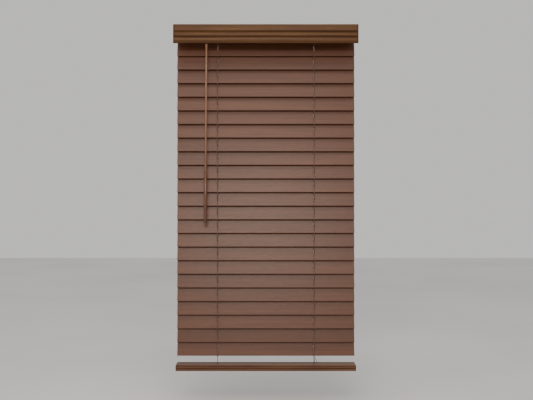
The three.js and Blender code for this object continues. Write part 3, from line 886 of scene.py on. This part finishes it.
turns = [2 * math.pi * k / 24 for k in range(24)]
rings = [[Vector((stem_radius(z, t) * math.cos(t), stem_radius(z, t) * math.sin(t), z)) for t in turns]
         for z in stem_heights()]
worm = to_piece("tilter_stem_and_worm", from_rings("tilter_stem_and_worm", rings), white_acetal,
                "tilter_worm", stem_place)
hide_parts("tilter_worm")
print("worm pitch", round(WORM_PITCH * 1000, 1), "mm")

# %% [markdown]
# The rolled headrail, its brackets, the tilter's housing, the rod and the drums already have the
# right shape in the model. They keep it, and get a finish and a small bevel, because a real edge
# always has a little rounding that catches the light.

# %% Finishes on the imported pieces
def dress(node, finish, bevel):
    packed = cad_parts[node]
    packed.data.materials.clear()
    packed.data.materials.append(finish)
    soft = packed.modifiers.new("soft_edges", "BEVEL")
    soft.width, soft.segments, soft.limit_method = bevel, 2, "ANGLE"
    soft.angle_limit = math.radians(40)
    soft.harden_normals = False


for node in ("headrail", "left_bracket", "right_bracket"):
    dress(node, headrail_enamel, mm(0.25))
dress("tilt_rod", zinc, mm(0.35))
for node in ("left_ladder_drum", "right_ladder_drum", "tilter_housing"):
    dress(node, white_acetal, mm(0.35))
print("packed pieces dressed", 7)

# %% [markdown]
# Inside the headrail are the pieces that a blind needs to work: end caps, a cradle under each drum,
# and the spring drive with its two spools, which holds the blind at any height with no pull cord.

# %% Headrail end caps and cradles
headrail_low, headrail_high = (Vector(corner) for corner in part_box("headrail"))
WALL = mm(1)
floor_z = headrail_low.z + WALL
# This turn lays a plate's XY outline into YZ.
ALONG_X = Matrix(((0, 0, 1, 0), (1, 0, 0, 0), (0, 1, 0, 0), (0, 0, 0, 1)))
inside_y, inside_z = headrail_high.y - WALL - mm(0.2), headrail_high.z - WALL - mm(0.2)
for side, end in zip(SIDES, (headrail_low.x, headrail_high.x)):
    name = f"headrail_end_cap_{side_name[side]}"
    half_height = (inside_z - floor_z - mm(0.2)) / 2
    cap = plate(name, [rounded_outline(inside_y, half_height, mm(1.5))], mm(2.4), mm(0.4))
    place = Matrix.Translation((end - side * mm(1.3), 0, floor_z + mm(0.2) + half_height)) @ ALONG_X
    to_piece(name, cap, brown_acetal, "headrail_assembly", place)


CHEEK_OFFSET = mm(8.6)  # from the middle of a drum


def cradle_cheek():
    """One upright of a cradle, with a round seat for the rod open at the top."""
    foot, top, half, seat_radius = floor_z + mm(0.3) - ROD_Z, mm(3.5), mm(13), mm(4.6)
    turns = [math.pi * k / 12 for k in range(13)]
    seat = [(seat_radius * math.cos(t), -seat_radius * math.sin(t)) for t in turns]
    right = [(half, foot), (half, foot + mm(6)), (mm(8), top), (seat_radius, top)]
    return right + seat + [(-y, z) for y, z in reversed(right)]


for side in SIDES:
    for hand in SIDES:
        name = f"drum_cradle_{side_name[side]}_{'outer' if hand == side else 'inner'}"
        cheek = plate(name, [cradle_cheek()], mm(1.6), mm(0.25))
        place = Matrix.Translation((side * LADDER_X + hand * CHEEK_OFFSET, 0, ROD_Z)) @ ALONG_X
        to_piece(name, cheek, white_acetal, "headrail_assembly", place)
print("end caps 2, cradle cheeks 4")

# %% [markdown]
# The spring drive is a flat moulded box with a coiled steel ribbon inside. The lift cords come up
# through the cradles, turn over small posts and wind on its spools.

# %% Spring drive
DRIVE_Y, DRIVE_Z = mm(14.5), mm(-21)
SPOOL_X, WINDING_RADIUS, WINDING_HALF = mm(78), mm(6), mm(3.6)
case = plate("spring_drive_case", [rounded_outline(mm(62), mm(12), mm(4))], mm(13), mm(1.2), steps=3)
ON_EDGE = Matrix.Rotation(math.radians(90), 4, "X")
to_piece("spring_drive_case", case, white_acetal, "headrail_assembly",
                 Matrix.Translation((0, DRIVE_Y, DRIVE_Z)) @ ON_EDGE)
SPOOL = [(mm(2), mm(-6)), (mm(11), mm(-6)), (mm(11), mm(-5)), (mm(5), mm(-4.4)), (mm(5), mm(4.4)),
         (mm(11), mm(5)), (mm(11), mm(6)), (mm(2), mm(6)), (mm(2), mm(-6))]
for side in SIDES:
    name = f"lift_spool_{side_name[side]}"
    place = Matrix.Translation((side * SPOOL_X, DRIVE_Y, DRIVE_Z)) @ ON_EDGE
    spool = turned(name, SPOOL, 28)
    to_piece(name, spool, white_acetal, "headrail_assembly", place)
    points = []
    for k in range(49):
        turn = 8 * math.pi * k / 48
        points.append(Vector((side * SPOOL_X + WINDING_RADIUS * math.sin(turn),
                              DRIVE_Y + WINDING_HALF * (1 - 2 * k / 48),
                              DRIVE_Z - WINDING_RADIUS * math.cos(turn))))
    name = f"lift_spool_winding_{side_name[side]}"
    to_piece(name, tube(name, points, LIFT_CORD, 8), lift_braid, "headrail_assembly")
    reach = smooth_path([Vector((side * x, y, z)) for x, y, z in (
        (LADDER_X, 0, ROD_Z - mm(15)), (LADDER_X - mm(0.2), mm(0.4), ROD_Z - mm(12.9)),
        (LADDER_X - mm(12), mm(4), ROD_Z - mm(12.6)), (mm(110), mm(10), DRIVE_Z - mm(7.5)),
        (mm(86), DRIVE_Y, DRIVE_Z - mm(6.2)),
        (SPOOL_X, DRIVE_Y + WINDING_HALF, DRIVE_Z - WINDING_RADIUS))])
    name = f"lift_cord_run_{side_name[side]}"
    to_piece(name, tube(name, reach, LIFT_CORD, 8), lift_braid, "headrail_assembly")
print("spring drive with 2 spools")

# %% [markdown]
# Three clips of springy plastic hold the valance to the headrail, a gate closes the front of each
# bracket, and two screws go up through each bracket's top.

# %% Clips, gates and screws
SCREW = [(0, mm(-0.05)), (mm(1.9), mm(-0.05)), (mm(1.9), mm(-1.55)), (mm(3.6), mm(-1.6)),
         (mm(3.5), mm(-2.3)), (mm(2.4), mm(-3.3)), (mm(0.9), mm(-3.5)), (mm(0.8), mm(-2.6)),
         (0, mm(-2.6))]
CLIP = [(mm(-24.4), mm(-0.75)), (mm(-42.7), mm(-0.75)), (mm(-42.7), mm(-27)), (mm(-41.6), mm(-27.6)),
        (mm(-41.3), mm(-3)), (mm(-40.2), mm(-1.85)), (mm(-24.4), mm(-1.85))]
for number, x in enumerate((mm(-205), 0.0, mm(205)), 1):
    name = f"valance_clip_{number}"
    strip = plate(name, [CLIP], mm(18), mm(0.25))
    place = Matrix.Translation((x, 0, 0)) @ ALONG_X
    to_piece(name, strip, brown_acetal, "headrail_assembly", place)
for side in SIDES:
    low, high = (Vector(corner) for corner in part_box(f"{side_name[side]}_bracket"))
    middle = (low + high) / 2
    name = f"bracket_gate_{side_name[side]}"
    gate = plate(name, [rounded_outline(mm(14), (high.z - low.z) / 2 - mm(1.2), mm(2))], mm(1.0), mm(0.3))
    place = Matrix.Translation((middle.x, low.y - mm(0.75), middle.z)) @ ON_EDGE
    to_piece(name, gate, headrail_enamel, "headrail_assembly", place)
    for hand in SIDES:
        name = f"bracket_screw_{side_name[side]}_{face_name[hand]}"
        head = turned(name, SCREW, 24)
        outer = low.x if side < 0 else high.x
        place = Matrix.Translation((outer - side * mm(12), hand * mm(14), 0))
        to_piece(name, head, zinc, "headrail_assembly", place)
print("clips 3, gates 2, screws 4")

# %% [markdown]
# The stage is a pale plastered floor below the blind, with a soft grey surround. The surround
# lights the blind a little from every side, so no shade is quite black.

# %% Floor and surround
def painted_plaster(name, base, shade):
    material, surface = new_finish(name, 0.85, ior=1.5)
    drift = add_node(material, "TexNoise", {}, {
        "Vector": stretched(material, 900, 900, 900), "Scale": 1.0, "Detail": 2.0})
    join(material, colour_steps(material, drift.outputs["Fac"], [(0.35, shade), (0.65, base)]),
         surface, "Base Color")
    return material


FLOOR_TOP, FLOOR_THICKNESS, FLOOR_HALF = -1.22, 0.02, 6
studio_plaster = painted_plaster("painted_plaster_pale", "e2e1df", "dbdad8")
corners = [(-FLOOR_HALF, -FLOOR_HALF), (FLOOR_HALF, -FLOOR_HALF), (FLOOR_HALF, FLOOR_HALF),
           (-FLOOR_HALF, FLOOR_HALF)]
ground = from_rings("studio_floor", [[Vector((x, y, z)) for x, y in corners]
                                     for z in (FLOOR_TOP - FLOOR_THICKNESS, FLOOR_TOP)])
to_piece("studio_floor", ground, studio_plaster, None)
world = bpy.data.worlds.new("studio")
bpy.context.scene.world = world
world.use_nodes = True
world.node_tree.nodes["Background"].inputs["Color"].default_value = paint("c4c3c1")
world.node_tree.nodes["Background"].inputs["Strength"].default_value = 1.25
print("floor at", FLOOR_TOP, "m")

# %% [markdown]
# Two soft panels light the blind, both a little warm. The stronger one stands in front, high behind
# the viewer, as a lit room does. The weaker one hangs overhead, in front of the blind, as a ceiling
# does. Both shine down, so the valance and each slat shade what is just below them.

# %% Lights
def panel(name, position, aim, width, height, watts, tint="ffffff"):
    data = bpy.data.lights.new(name, "AREA")
    data.shape, data.size, data.size_y = "RECTANGLE", width, height
    data.energy, data.color = watts, paint(tint)[:3]
    light = bpy.data.objects.new(name, data)
    light.location = position
    light.rotation_euler = (Vector(aim) - Vector(position)).to_track_quat("-Z", "Y").to_euler()
    bpy.context.collection.objects.link(light)


panel("front_panel", (-0.1, -2.5, 0.6), (0, 0, -0.75), 1.1, 0.62, 26, "fff0e2")
panel("ceiling_panel", (-0.2, -0.8, 1.3), (0, 0, -0.5), 1.3, 0.5, 14, "fff6ea")
print("lights 2")
